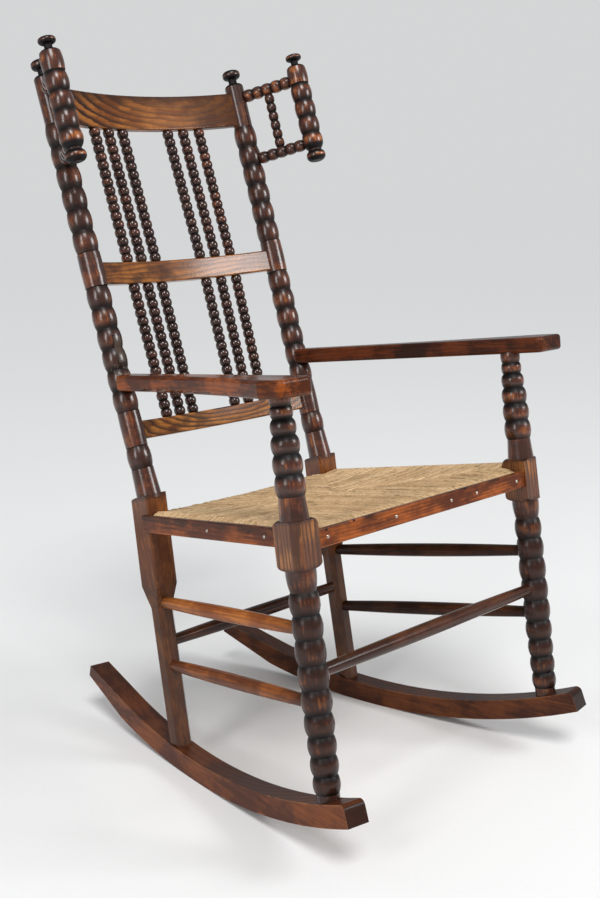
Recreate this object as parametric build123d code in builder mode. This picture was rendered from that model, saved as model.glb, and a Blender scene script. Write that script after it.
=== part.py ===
"""Bobbin-turned rocking chair with a ladder back, ear wings and a rush seat.

The chair stands at rest on the floor, facing -Y, with +Z up.  The origin is on the floor,
on the plane of symmetry, midway between the front and back of the whole chair.  Left and
right are as seen from the front, so the left side is -X.  All lengths are in millimetres.
"""
import os
from math import atan, cos, radians, sin, sqrt, tan

from build123d import *

os.makedirs("parts", exist_ok=True)

# ---------------------------------------------------------------- driving dimensions
# Stance: the front legs and the seat lean back together, and the back is raked further.
seat_tilt = 9.6
back_rake = 19.2
back_splay = 0.8

# Rockers: boards on edge, cut to an arc, that toe in towards the back.
rocker_radius = 985
rocker_height = 33
rocker_thickness = 36
rocker_x = 212
rocker_y = -4.14
rocker_toe_in = 9.2
balance_s = 4
rocker_front = 384.5
rocker_rear = 339
rocker_nose_rake = 12
rocker_nose_radius = 9
rocker_tail_length = 110
rocker_tail_height = 19

# Front posts: turned, with a square block at the seat.
front_post_x = 263.5
block_top_y = -254.14
block_top_z = 478.5
block_size = 44
block_height = 67.3
block_corner_cut = 11.5
block_shoulder = 8
leg_beads = [25.5, 27.7, 28.5, 31.5, 34.5, 34.5, 35, 33.8, 32.5]
leg_crowns = [19.6, 20.2, 20.6, 21.5, 22, 22, 22, 22, 21.8]
leg_cap = 31.2
leg_cap_crown = 21.5
foot_ring_radius = 16.5
foot_ring = 18.7
foot_pin = 10
foot_pin_depth = 20
vase_height = 32.2
vase_radii = (21, 18.4)
arm_beads = [29.7, 27.8, 25.8, 22.5, 17.5]
arm_crowns = [21.6, 21.2, 20.2, 18.2, 16.2]
collar_radius = 15.7
collar_height = 14.9
post_pin = 9
post_pin_depth = 13

# Back posts: a sawn leg below the seat, and a turned post above it.
back_post_x = 198.6
back_post_y = 145.16
back_post_z = 474.6
back_vase = 44
back_vase_radii = (20, 18)
back_crown = 19.6
back_groove = 17
back_plain_radii = (18.4, 19, 16.6)
low_bead = 33.9
plain_low = 58.6
ladder_bead = 33.6
plain_mid = 57.8
crest_bead = 34.9
plain_top = 81.2
back_neck = (7.5, 10)
back_knob = (16, 16.6)

leg_block = (43, 41)
leg_shank = (30, 30)
leg_block_chamfer = 2.5
leg_shank_chamfer = 7
leg_shoulder = 9
leg_offset = 1.5
leg_lean = 10
knee_high = (199, 108.86, 290)
knee_low = (200, 102.86, 254)
leg_foot = (201.5, 60.36, 30)

# Rails of the ladder back: bowed boards, hollow side to the sitter.
rail_bow = 24
crest_bow = 31.5
rail_thickness = 14
rail_tenon_stop = 3
rail_softening = 2.5
crest_span = (565.8, 625.6)
mid_span = (299, 335.3)
low_span = (45, 74.3)

# Back spindles: three on each side of the middle, in two rows.
spindle_rows = [(50, 48), (82.5, 78.5), (115, 110)]
spindle_beads = 16
spindle_crown = 9.6
spindle_groove = 6.7
spindle_pin = 4
spindle_pin_depth = 10

# Wings: a short turned post held off each back post by two beaded rails.
wing_reach = 119
wing_swing = 29.5
wing_foot = 466
wing_button = (17, 18)
wing_stem = (12, 3)
wing_bead = 29.45
wing_crown = 18.4
wing_plain = 35.5
wing_plain_radius = 17.8
wing_neck = (6.5, 8.7)
wing_knob = (14, 12)
wing_top = 615.8
wing_bottom = 500.5
wing_rail_beads = 5
wing_rail_crowns = (11.3, 10.6)
wing_rail_share = 0.76
wing_spindle_beads = 6
wing_spindle_crown = 8.8
wing_spindle_groove = 6.2
wing_pin = 4.5
wing_pin_depth = 9
wing_spindle_pin = 3.2
wing_spindle_pin_depth = 5.5

# Arms: flat boards, broad and rounded at the front.
arm_post_level = 140
arm_slope = 7.15
arm_thickness = 25
arm_rear_y = -12
arm_rear_half = 17.5
arm_waist = (60, -235)
arm_front_y = -481
arm_front_span = (59.5, 122)
arm_corners = (10, 8)
arm_softening = 5.5
arm_pin = 8
arm_pin_depth = 11

# Stretchers: plain rods, a little fuller in the middle.
rod_end = 9.2
rod_belly = 11.4
rod_plain = 22
rod_stop = 8
side_rods = [(-153, -152.5), (-256, -255.5)]
front_rod_level = -214.5
back_rod = (92.36, 197.5)

# Seat: rungs, the rush wound over them, and facing strips nailed over its edges.
rung_radius = 11
rung_pin = 8
rung_pin_depth = 11
rung_level_side = -21
rung_level_cross = -31.5
front_rung_y = 5
back_rung_y = 391
side_face_x = 284
side_taper = 0.158
rush_cover = 5
rush_levels = (-45, -7)
rush_front_drop = 11
rush_back_y = 407
rush_dish = 7
strip_thickness = 7
front_strip = (-44.5, -18)
side_strip = (-36, -9)
front_nails = [-221, -76, 53, 116, 221]
side_nails = [51, 195]
nail_head = 2.6
nail_dome = 1
nail_shank = 0.9
nail_length = 18

groove_share = 0.84


# ---------------------------------------------------------------- directions and frames
def lean_back(angle, splay=0.0):
    """Unit vector up a post that leans back by angle and outwards (+X) by splay, in degrees."""
    lean = radians(angle)
    return Vector(tan(radians(splay)) * cos(lean), sin(lean), cos(lean)).normalized()


across = Vector(1, 0, 0)
post_up = lean_back(seat_tilt)
seat_back = post_up.cross(across)
seat_origin = Vector(0, block_top_y, block_top_z)

back_up = lean_back(back_rake)
back_out = lean_back(back_rake, back_splay)
back_behind = back_up.cross(across)
back_origin = Vector(0, back_post_y, back_post_z)


def on_seat(x, y, level):
    """Point x across, y behind the front posts and level above their block tops."""
    return seat_origin + across * x + seat_back * y + post_up * level


def seat_plane(level, x=0, y=0):
    """Plane square to the front posts at a level above their block tops."""
    return Plane(origin=on_seat(x, y, level), x_dir=across, z_dir=post_up)


def on_back(x, level, depth=0):
    """Point x across, level up the ladder back and depth behind the back posts."""
    return back_origin + across * x + back_up * level + back_behind * depth


def on_back_post(level):
    """Point on the right back post's axis, level above its lowest bead."""
    return back_origin + across * back_post_x + back_out * level


def profile_plane(start, direction):
    """Plane for half of a turning: Y runs along its axis and X is the radius."""
    radius = Plane(origin=start, z_dir=direction).x_dir
    return Plane(origin=start, x_dir=radius, z_dir=radius.cross(direction))


# ---------------------------------------------------------------- turning
def bead(start, end, crown, groove_below, groove_above):
    """One bobbin of a turning: a round swell from groove to groove over the crown."""
    half = (end - start) / 2
    rise = 2 * atan((crown - groove_below) / half)
    fall = 2 * atan((crown - groove_above) / half)
    Spline(
        (groove_below, start),
        (crown, start + half),
        (groove_above, end),
        tangents=((sin(rise), cos(rise)), (-sin(fall), cos(fall))),
    )


def bead_run(start, lengths, crowns, first_groove, last_groove):
    """Beads one after another up a turning, with a groove between each two."""
    grooves = [first_groove]
    for lower, upper in zip(crowns, crowns[1:]):
        grooves.append(min(lower, upper) * groove_share)
    grooves.append(last_groove)
    level = start
    for i, length in enumerate(lengths):
        bead(level, level + length, crowns[i], grooves[i], grooves[i + 1])
        level += length
    return level


def beaded_rod(start, end, sink, count, crown, groove, pin, pin_depth):
    """Equal beads from start to end, let in by sink, with a round pin beyond each end."""
    direction = (end - start).normalized()
    first = pin_depth - sink
    pitch = ((end - start).length + 2 * sink) / count
    last = first + count * pitch
    top = last + pin_depth - sink
    with BuildPart() as rod:
        with BuildSketch(profile_plane(start - direction * pin_depth, direction)):
            with BuildLine():
                Polyline((0, 0), (pin, 0), (pin, first), (groove, first))
                for i in range(count):
                    bead(first + i * pitch, first + (i + 1) * pitch, crown, groove, groove)
                Polyline((groove, last), (pin, last), (pin, top), (0, top), (0, 0))
            make_face()
        revolve(axis=Axis(start, direction))
    return rod


def barrel_rod(start, end):
    """A stretcher: plain ends that fill their holes, and a slow swell to the middle."""
    direction = (end - start).normalized()
    reach = (end - start).length
    with BuildPart() as rod:
        with BuildSketch(profile_plane(start, direction)):
            with BuildLine():
                Polyline((0, 0), (rod_end, 0), (rod_end, rod_plain))
                ThreePointArc((rod_end, rod_plain), (rod_belly, reach / 2), (rod_end, reach - rod_plain))
                Polyline((rod_end, reach - rod_plain), (rod_end, reach), (0, reach), (0, 0))
            make_face()
        revolve(axis=Axis(start, direction))
    return rod


def rung(start, end):
    """A seat rung: a plain round bar from start to end with a slimmer pin beyond each end."""
    direction = (end - start).normalized()
    reach = (end - start).length
    with BuildPart() as bar:
        with BuildSketch(Plane(origin=start, z_dir=direction)):
            Circle(rung_radius)
        extrude(amount=reach)
        with BuildSketch(Plane(origin=start - direction * rung_pin_depth, z_dir=direction)):
            Circle(rung_pin)
        extrude(amount=reach + 2 * rung_pin_depth)
    return bar


def pin_at(start, direction, radius, length):
    """A plain round pin, for a tenon and for the hole that it fills."""
    with BuildPart() as pin:
        with BuildSketch(Plane(origin=start, z_dir=direction)):
            Circle(radius)
        extrude(amount=length)
    return pin


# ---------------------------------------------------------------- writing pieces
def write(piece, name):
    """Label a finished piece and write it as its own node."""
    piece.part.label = name
    export_step(piece.part, f"parts/{name}.step")


def on_the_left(right):
    """The mirror image of a right-hand piece."""
    with BuildPart() as left:
        mirror(right.part, about=Plane.YZ)
    return left


def write_pair(right, name):
    """Write a right-hand piece and its mirror image on the left."""
    write(right, f"{name}_right")
    write(on_the_left(right), f"{name}_left")


def cut_by(pieces):
    """Inside a piece: cut away the room that other pieces fill."""
    for piece in pieces:
        add(piece.part, mode=Mode.SUBTRACT)


# ---------------------------------------------------------------- rocker blank
toe = radians(rocker_toe_in)
rocker_line = Vector(-sin(toe), cos(toe), 0)
rocker_side_normal = rocker_line.cross(Vector(0, 0, 1))
rocker_plane = Plane(origin=(rocker_x, rocker_y, 0), x_dir=rocker_line, z_dir=rocker_side_normal)
rocker_top_radius = rocker_radius - rocker_height


def rocker_under(s):
    """Height of the running edge, s along the rocker from its plane's origin."""
    return rocker_radius - sqrt(rocker_radius ** 2 - (s - balance_s) ** 2)


def rocker_over(s):
    """Height of the upper edge, s along the rocker from its plane's origin."""
    return rocker_radius - sqrt(rocker_top_radius ** 2 - (s - balance_s) ** 2)


# The tail is tapered from above and below over its last part; the nose is cut square to the
# arc and its top corner rounded.
tail_start = rocker_rear - rocker_tail_length
tail_middle = (rocker_under(rocker_rear) + rocker_over(rocker_rear)) / 2
tail_low = tail_middle - rocker_tail_height / 2
tail_high = tail_middle + rocker_tail_height / 2
nose_top = -rocker_front + rocker_nose_rake
with BuildPart() as rocker_blank:
    with BuildSketch(rocker_plane) as rocker_side:
        with BuildLine():
            ThreePointArc(
                (-rocker_front, rocker_under(-rocker_front)),
                (balance_s, 0),
                (tail_start, rocker_under(tail_start)),
            )
            Line((tail_start, rocker_under(tail_start)), (rocker_rear, tail_low))
            Line((rocker_rear, tail_low), (rocker_rear - 5, tail_high))
            Line((rocker_rear - 5, tail_high), (tail_start, rocker_over(tail_start)))
            ThreePointArc(
                (tail_start, rocker_over(tail_start)),
                (balance_s, rocker_height),
                (nose_top, rocker_over(nose_top)),
            )
            Line((nose_top, rocker_over(nose_top)), (-rocker_front, rocker_under(-rocker_front)))
        make_face()
        nose_corner = rocker_side.vertices().sort_by_distance((nose_top, rocker_over(nose_top)))[0]
        fillet(nose_corner, rocker_nose_radius)
    extrude(amount=rocker_thickness / 2, both=True)

# ---------------------------------------------------------------- spindles of the back
def bow_depth(x, bow):
    """How far behind the back posts the middle of a rail of that bow lies at x."""
    radius = (back_post_x ** 2 + bow ** 2) / (2 * bow)
    return bow - radius + sqrt(radius ** 2 - x ** 2)


def back_spindle(low_x, low_level, high_x, high_level, high_bow):
    """A spindle of the back, standing between two bowed rails."""
    low = on_back(low_x, low_level, bow_depth(low_x, rail_bow))
    high = on_back(high_x, high_level, bow_depth(high_x, high_bow))
    return beaded_rod(
        low, high, 0.3, spindle_beads, spindle_crown, spindle_groove, spindle_pin, spindle_pin_depth
    )


upper_spindles = [
    back_spindle(top, mid_span[1], top, crest_span[0], crest_bow) for top, foot in spindle_rows
]
lower_spindles = [
    back_spindle(foot, low_span[1], top, mid_span[0], rail_bow) for top, foot in spindle_rows
]
for i in range(len(spindle_rows)):
    write_pair(upper_spindles[i], f"upper_spindle_{i + 1}")
    write_pair(lower_spindles[i], f"lower_spindle_{i + 1}")


# ---------------------------------------------------------------- rails of the back
def bowed_rail(span, bow, spindles):
    """A bowed board between the back posts, tenoned into them whole."""
    bottom, top = span
    end = back_post_x + tan(radians(back_splay)) * (bottom + top) / 2 - rail_tenon_stop
    front = bow - rail_thickness / 2
    rear = bow + rail_thickness / 2
    end_front = bow_depth(end, bow) - rail_thickness / 2
    end_rear = bow_depth(end, bow) + rail_thickness / 2
    with BuildPart() as rail:
        with BuildSketch(Plane(origin=on_back(0, bottom), x_dir=across, z_dir=back_up)):
            with BuildLine():
                ThreePointArc((-end, end_front), (0, front), (end, end_front))
                Line((end, end_front), (end, end_rear))
                ThreePointArc((end, end_rear), (0, rear), (-end, end_rear))
                Line((-end, end_rear), (-end, end_front))
            make_face()
        extrude(amount=top - bottom)
        fillet(rail.edges().filter_by(GeomType.CIRCLE), rail_softening)
        for spindle in spindles:
            add(spindle.part, mode=Mode.SUBTRACT)
            add(on_the_left(spindle).part, mode=Mode.SUBTRACT)
    return rail


crest_rail = bowed_rail(crest_span, crest_bow, upper_spindles)
mid_rail = bowed_rail(mid_span, rail_bow, upper_spindles + lower_spindles)
low_rail = bowed_rail(low_span, rail_bow, lower_spindles)
write(crest_rail, "crest_rail")
write(mid_rail, "middle_rail")
write(low_rail, "lower_rail")

# ---------------------------------------------------------------- wings
swing = radians(wing_swing)
wing_out = across * sin(swing) - back_behind * cos(swing)


def on_wing(level, reach=wing_reach):
    """Point out along the right wing, level above the back post's lowest bead."""
    return on_back_post(level) + wing_out * reach


def wing_rail(level, crown, back_surface, wing_surface):
    """A beaded rail from the back post's surface to the wing post's."""
    start = on_wing(level, back_surface)
    end = on_wing(level, wing_reach - wing_surface)
    return beaded_rod(
        start, end, 2, wing_rail_beads, crown, crown * wing_rail_share, wing_pin, wing_pin_depth
    )


wing_top_rail = wing_rail(wing_top, wing_rail_crowns[0], back_plain_radii[2], wing_plain_radius)
wing_low_rail = wing_rail(wing_bottom, wing_rail_crowns[1], back_crown - 1, wing_crown)
wing_spindle = beaded_rod(
    on_wing(wing_bottom + wing_rail_crowns[1], wing_reach / 2),
    on_wing(wing_top - wing_rail_crowns[0], wing_reach / 2),
    1.5, wing_spindle_beads, wing_spindle_crown, wing_spindle_groove,
    wing_spindle_pin, wing_spindle_pin_depth,
)

button_radius, button_height = wing_button
stem_radius, stem_height = wing_stem
neck_radius, neck_height = wing_neck
knob_radius, knob_height = wing_knob
with BuildPart() as wing_post:
    with BuildSketch(profile_plane(on_wing(wing_foot), back_out)):
        with BuildLine():
            Line((0, 0), (9, 0))
            ThreePointArc((9, 0), (button_radius, button_height * 0.52), (stem_radius, button_height))
            stem_top = button_height + stem_height
            Line((stem_radius, button_height), (stem_radius, stem_top))
            beads_top = bead_run(
                stem_top, [wing_bead] * 4, [wing_crown] * 4, stem_radius, wing_crown * groove_share
            )
            plain_end = beads_top + wing_plain
            Line((wing_crown * groove_share, beads_top), (wing_plain_radius - 1, beads_top + 2))
            ThreePointArc(
                (wing_plain_radius - 1, beads_top + 2),
                (wing_plain_radius, beads_top + wing_plain * 0.55),
                (wing_plain_radius - 1.5, plain_end - 4),
            )
            ThreePointArc(
                (wing_plain_radius - 1.5, plain_end - 4),
                (12.5, plain_end - 0.7),
                (neck_radius, plain_end + 0.5),
            )
            Line((neck_radius, plain_end + 0.5), (neck_radius, plain_end + neck_height))
            knob_base = plain_end + neck_height
            Spline(
                (neck_radius, knob_base),
                (knob_radius, knob_base + knob_height * 0.46),
                (0, knob_base + knob_height),
                tangents=[(1, 0.1), (-1, 0)],
            )
            Line((0, knob_base + knob_height), (0, 0))
        make_face()
    revolve(axis=Axis(on_wing(0), back_out))
    cut_by([wing_top_rail, wing_low_rail])

with BuildPart() as wing_top_rail_bored:
    add(wing_top_rail.part)
    cut_by([wing_spindle])
with BuildPart() as wing_low_rail_bored:
    add(wing_low_rail.part)
    cut_by([wing_spindle])

write_pair(wing_post, "wing_post")
write_pair(wing_top_rail_bored, "wing_top_rail")
write_pair(wing_low_rail_bored, "wing_bottom_rail")
write_pair(wing_spindle, "wing_spindle")


# ---------------------------------------------------------------- stretchers
def side_rod(front_level, rear_level, rear_y):
    """A side stretcher, from near the front post's axis to near the back leg's middle."""
    front = on_seat(front_post_x, 0, front_level)
    rear = on_seat(knee_low[0] + 1, rear_y, rear_level)
    direction = (rear - front).normalized()
    return barrel_rod(front + direction * rod_stop, rear)


side_rod_upper = side_rod(side_rods[0][0], side_rods[0][1], 389)
side_rod_lower = side_rod(side_rods[1][0], side_rods[1][1], 385)
front_rod_reach = front_post_x - rod_stop
front_rod = barrel_rod(
    on_seat(-front_rod_reach, 0, front_rod_level), on_seat(front_rod_reach, 0, front_rod_level)
)
back_rod_reach = knee_low[0] - 3
back_stretcher = barrel_rod(
    Vector(-back_rod_reach, back_rod[0], back_rod[1]), Vector(back_rod_reach, back_rod[0], back_rod[1])
)
write_pair(side_rod_upper, "upper_side_stretcher")
write_pair(side_rod_lower, "lower_side_stretcher")
write(front_rod, "front_stretcher")
write(back_stretcher, "back_stretcher")


# ---------------------------------------------------------------- seat rungs and nails
def side_face(y, inset=0.0):
    """How far out the side strip's outer face is, y behind the front posts, less an inset."""
    return side_face_x - side_taper * y - inset


rung_inset = strip_thickness + rush_cover + rung_radius
block_half = block_size / 2
leg_front_y = 368
side_rung_blank = rung(
    on_seat(side_face(block_half, rung_inset), block_half, rung_level_side),
    on_seat(side_face(leg_front_y, rung_inset), leg_front_y, rung_level_side),
)
cross_reach = front_post_x - block_half
front_rung_blank = rung(
    on_seat(-cross_reach, front_rung_y, rung_level_cross),
    on_seat(cross_reach, front_rung_y, rung_level_cross),
)
back_reach = knee_high[0] - leg_block[0] / 2
back_rung = rung(
    on_seat(-back_reach, back_rung_y, rung_level_cross), on_seat(back_reach, back_rung_y, rung_level_cross)
)


def nail(point, direction):
    """A round-headed nail whose head sits on point and whose shank runs along direction."""
    with BuildPart() as pin:
        with BuildSketch(profile_plane(point - direction * nail_dome, direction)):
            with BuildLine():
                ThreePointArc((0, 0), (nail_head * 0.75, nail_dome * 0.35), (nail_head, nail_dome))
                Polyline((nail_head, nail_dome), (nail_shank, nail_dome), (nail_shank, nail_length))
                Polyline((nail_shank, nail_length), (0, nail_length + 1), (0, 0))
            make_face()
        revolve(axis=Axis(point, direction))
    return pin


strip_middle = sum(front_strip) / 2
side_middle = sum(side_strip) / 2
front_face_y = front_rung_y - rung_radius - rush_cover - strip_thickness
side_inward = (seat_back * -side_taper - across).normalized()
front_nail_pins = [nail(on_seat(x, front_face_y, strip_middle), seat_back) for x in front_nails]
side_nail_pins = [nail(on_seat(side_face(y), y, side_middle), side_inward) for y in side_nails]

with BuildPart() as nails:
    for pin in front_nail_pins:
        add(pin.part)
    for pin in side_nail_pins:
        add(pin.part)
        add(on_the_left(pin).part)
write(nails, "strip_nails")

with BuildPart() as side_rung:
    add(side_rung_blank.part)
    cut_by(side_nail_pins)
with BuildPart() as front_rung:
    add(front_rung_blank.part)
    cut_by(front_nail_pins)
write_pair(side_rung, "seat_rung_side")
write(front_rung, "seat_rung_front")
write(back_rung, "seat_rung_back")

# ---------------------------------------------------------------- front posts
front_foot_level = -block_height - leg_cap - sum(leg_beads)
with BuildPart() as front_post:
    # The turned leg, from the foot ring up to the cap under the block.
    with BuildSketch(profile_plane(on_seat(front_post_x, 0, 0), post_up)):
        with BuildLine():
            foot_bottom = front_foot_level - foot_ring - 14
            Polyline((0, foot_bottom), (foot_ring_radius, foot_bottom), (foot_ring_radius, front_foot_level))
            Line((foot_ring_radius, front_foot_level), (leg_crowns[0] * groove_share, front_foot_level))
            cap_level = bead_run(
                front_foot_level, leg_beads, leg_crowns,
                leg_crowns[0] * groove_share, leg_cap_crown * groove_share,
            )
            ThreePointArc(
                (leg_cap_crown * groove_share, cap_level),
                (leg_cap_crown - 1, cap_level + leg_cap * 0.35),
                (leg_cap_crown, -block_height),
            )
            Polyline((leg_cap_crown, -block_height), (vase_radii[0], 0))
            Line((vase_radii[0], 0), (vase_radii[1], vase_height))
            collar_level = bead_run(
                vase_height, arm_beads, arm_crowns, vase_radii[1], arm_crowns[-1] * groove_share
            )
            collar_top = collar_level + collar_height + 3
            ThreePointArc(
                (arm_crowns[-1] * groove_share, collar_level),
                (collar_radius, collar_level + collar_height / 2),
                (collar_radius - 1, collar_top),
            )
            Polyline((collar_radius - 1, collar_top), (0, collar_top), (0, foot_bottom))
        make_face()
    revolve(axis=Axis(on_seat(front_post_x, 0, 0), post_up))

# The square block: its outer front corner is cut off, and its ends are rounded by turning.
with BuildPart() as seat_block:
    with BuildSketch(seat_plane(-block_height, front_post_x)):
        Rectangle(block_size, block_size)
    extrude(amount=block_height)
    uprights = seat_block.edges().filter_by(Axis(seat_origin, post_up))
    chamfer(uprights.sort_by(Axis(seat_origin, across - seat_back))[-1], block_corner_cut)
    with BuildSketch(profile_plane(on_seat(front_post_x, 0, 0), post_up)):
        with BuildLine():
            corner = block_half * sqrt(2) + 0.5
            Line((0, -block_height), (leg_cap_crown, -block_height))
            ThreePointArc(
                (leg_cap_crown, -block_height),
                (leg_cap_crown + (corner - leg_cap_crown) * 0.75, -block_height + block_shoulder * 0.35),
                (corner, -block_height + block_shoulder),
            )
            Line((corner, -block_height + block_shoulder), (corner, -block_shoulder))
            ThreePointArc(
                (corner, -block_shoulder),
                (vase_radii[0] + (corner - vase_radii[0]) * 0.75, -block_shoulder * 0.35),
                (vase_radii[0], 0),
            )
            Polyline((vase_radii[0], 0), (0, 0), (0, -block_height))
        make_face()
    revolve(axis=Axis(on_seat(front_post_x, 0, 0), post_up), mode=Mode.INTERSECT)

# ---------------------------------------------------------------- back posts
plain_low_base = low_bead
ladder_base = plain_low_base + plain_low
plain_mid_base = ladder_base + 6 * ladder_bead
crest_base = plain_mid_base + plain_mid
plain_top_base = crest_base + 6 * crest_bead
post_top = plain_top_base + plain_top


def plain_length(base, top, radius):
    """A plain stretch of a back post, barely swelling between two beads."""
    Line((back_groove, base), (radius - 0.6, base + 1.5))
    ThreePointArc(
        (radius - 0.6, base + 1.5),
        (radius, (base + top) / 2),
        (radius - 0.6, top - 1.5),
    )
    Line((radius - 0.6, top - 1.5), (back_groove, top))


with BuildPart() as back_turning:
    with BuildSketch(profile_plane(on_back_post(0), back_out)):
        with BuildLine():
            Line((0, -back_vase - 6), (back_vase_radii[0], -back_vase - 6))
            Line((back_vase_radii[0], -back_vase - 6), (back_vase_radii[0], -back_vase))
            Line((back_vase_radii[0], -back_vase), (back_vase_radii[1], -1))
            Line((back_vase_radii[1], -1), (back_groove, 0))
            bead(0, low_bead, back_crown, back_groove, back_groove)
            plain_length(plain_low_base, ladder_base, back_plain_radii[0])
            bead_run(ladder_base, [ladder_bead] * 6, [back_crown] * 6, back_groove, back_groove)
            plain_length(plain_mid_base, crest_base, back_plain_radii[1])
            bead_run(crest_base, [crest_bead] * 6, [back_crown] * 6, back_groove, back_groove)
            top_radius = back_plain_radii[2]
            Line((back_groove, plain_top_base), (top_radius, plain_top_base + 1.5))
            Line((top_radius, plain_top_base + 1.5), (top_radius, post_top - 5))
            ThreePointArc(
                (top_radius, post_top - 5), (top_radius - 2.4, post_top - 1.2), (back_neck[0], post_top)
            )
            knob_base = post_top + back_neck[1]
            Line((back_neck[0], post_top), (back_neck[0], knob_base))
            Spline(
                (back_neck[0], knob_base),
                (back_knob[0], knob_base + back_knob[1] * 0.46),
                (0, knob_base + back_knob[1]),
                tangents=[(1, 0.1), (-1, 0)],
            )
            Line((0, knob_base + back_knob[1]), (0, -back_vase - 6))
        make_face()
    revolve(axis=Axis(on_back_post(0), back_out))


# The sawn leg: octagonal and slim from the rocker to the knee, then squarer and thicker.
sections = [
    (Vector(*leg_foot), lean_back(leg_lean), leg_shank, leg_shank_chamfer),
    (Vector(*knee_low), lean_back(leg_lean), leg_shank, leg_shank_chamfer),
    (Vector(*knee_high), lean_back(leg_lean), leg_block, leg_block_chamfer),
    (on_back_post(-back_vase) + back_behind * leg_offset, back_up, leg_block, leg_block_chamfer),
]
with BuildPart() as sawn_leg:
    for center, direction, size, corner in sections:
        with BuildSketch(Plane(origin=center, x_dir=across, z_dir=direction)) as section:
            Rectangle(*size)
            chamfer(section.vertices(), corner)
    loft(ruled=True)
    # The turning tool rounds the corners where the square leg meets the round post.
    with BuildSketch(profile_plane(on_back_post(0), back_out)):
        with BuildLine():
            leg_corner = 34
            shoulder_bulge = back_vase_radii[0] + (leg_corner - back_vase_radii[0]) * 0.72
            Line((back_vase_radii[0], -back_vase), (back_vase_radii[0], 10 - back_vase))
            Line((back_vase_radii[0], 10 - back_vase), (leg_corner + 6, 10 - back_vase))
            Line((leg_corner + 6, 10 - back_vase), (leg_corner, -back_vase - leg_shoulder))
            ThreePointArc(
                (leg_corner, -back_vase - leg_shoulder),
                (shoulder_bulge, -back_vase - leg_shoulder * 0.32),
                (back_vase_radii[0], -back_vase),
            )
        make_face()
    revolve(axis=Axis(on_back_post(0), back_out), mode=Mode.SUBTRACT)

# ---------------------------------------------------------------- arms
arm_up = lean_back(arm_slope)
arm_back = arm_up.cross(across)
arm_origin = on_back_post(arm_post_level)
arm_underside = arm_origin - arm_up * arm_thickness / 2
with BuildPart() as arm_blank:
    with BuildSketch() as plan:
        with BuildLine():
            Line((-arm_rear_half, arm_rear_y), (arm_rear_half, arm_rear_y))
            ThreePointArc(
                (arm_rear_half, arm_rear_y), arm_waist, (arm_front_span[1] - 2, arm_front_y + 45)
            )
            Line((arm_front_span[1] - 2, arm_front_y + 45), (arm_front_span[1], arm_front_y))
            Line((arm_front_span[1], arm_front_y), (arm_front_span[0], arm_front_y))
            Line((arm_front_span[0], arm_front_y), (-arm_rear_half, arm_rear_y))
        make_face()
        front_corners = plan.vertices().sort_by(Axis.Y)[:2].sort_by(Axis.X)
        fillet(front_corners[0], arm_corners[0])
        fillet(plan.vertices().sort_by(Axis.X)[-1], arm_corners[1])
    extrude(amount=arm_thickness)
    rims = arm_blank.edges().group_by(Axis.Z)
    fillet(rims[0] + rims[-1], arm_softening)
with BuildPart() as arm_board:
    with Locations(Plane(origin=arm_underside, x_dir=across, z_dir=arm_up)):
        add(arm_blank.part)

# The arm's rear end is scribed round the back post and pinned into one of its beads.
arm_tenon = pin_at(arm_origin - arm_back * 30, arm_back, arm_pin, 30 - back_crown + arm_pin_depth)

# ---------------------------------------------------------------- posts, rockers and arms joined
foot_start = on_seat(front_post_x, 0, front_foot_level)
front_foot_tenon = pin_at(foot_start, -post_up, foot_pin, foot_ring + foot_pin_depth)
arm_underside = collar_level + collar_height
arm_stub = pin_at(on_seat(front_post_x, 0, arm_underside - 6), post_up, post_pin, 6 + post_pin_depth)
with BuildPart() as whole_front_post:
    add(front_post.part)
    add(seat_block.part)
    cut_by([rocker_blank, arm_board])
    add(front_foot_tenon.part)
    add(arm_stub.part)
    cut_by([side_rod_upper, side_rod_lower, front_rod, side_rung, front_rung])

leg_direction = (Vector(*knee_low) - Vector(*leg_foot)).normalized()
leg_tenon_top = Vector(*leg_foot) + leg_direction * 12
leg_tenon = pin_at(leg_tenon_top, -leg_direction, foot_pin, 6 + foot_pin_depth)
with BuildPart() as back_post:
    add(back_turning.part)
    add(sawn_leg.part)
    cut_by([rocker_blank])
    add(leg_tenon.part)
    cut_by([crest_rail, mid_rail, low_rail, wing_top_rail, wing_low_rail, arm_tenon])
    cut_by([side_rod_upper, side_rod_lower, back_stretcher, side_rung, back_rung])

with BuildPart() as arm:
    add(arm_board.part)
    cut_by([back_turning])
    add(arm_tenon.part)
    cut_by([whole_front_post])

with BuildPart() as rocker:
    add(rocker_blank.part)
    cut_by([whole_front_post, back_post])

write_pair(whole_front_post, "front_post")
write_pair(back_post, "back_post")
write_pair(arm, "arm")
write_pair(rocker, "rocker")

# ---------------------------------------------------------------- facing strips
strip_softening = 1.8
strip_end = leg_front_y + 12
with BuildPart() as side_facing:
    with BuildSketch(seat_plane(side_strip[0])):
        with BuildLine():
            Polyline(
                (side_face(0), 0),
                (side_face(strip_end), strip_end),
                (side_face(strip_end, strip_thickness), strip_end),
                (side_face(0, strip_thickness), 0),
                (side_face(0), 0),
            )
        make_face()
    extrude(amount=side_strip[1] - side_strip[0])
    long_edges = side_facing.edges().filter_by(lambda edge: edge.length > strip_end)
    fillet(long_edges.sort_by(Axis.X)[-2:], strip_softening)
    cut_by([whole_front_post, back_post])
    cut_by(side_nail_pins)
with BuildPart() as front_facing:
    with BuildSketch(seat_plane(front_strip[0], 0, front_face_y + strip_thickness / 2)):
        Rectangle(2 * cross_reach, strip_thickness)
    extrude(amount=front_strip[1] - front_strip[0])
    fillet(front_facing.edges().filter_by(Axis.X).sort_by(Axis(seat_origin, seat_back))[:2], strip_softening)
    cut_by(front_nail_pins)
write_pair(side_facing, "facing_strip")
write(front_facing, "facing_strip_front")

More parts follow.
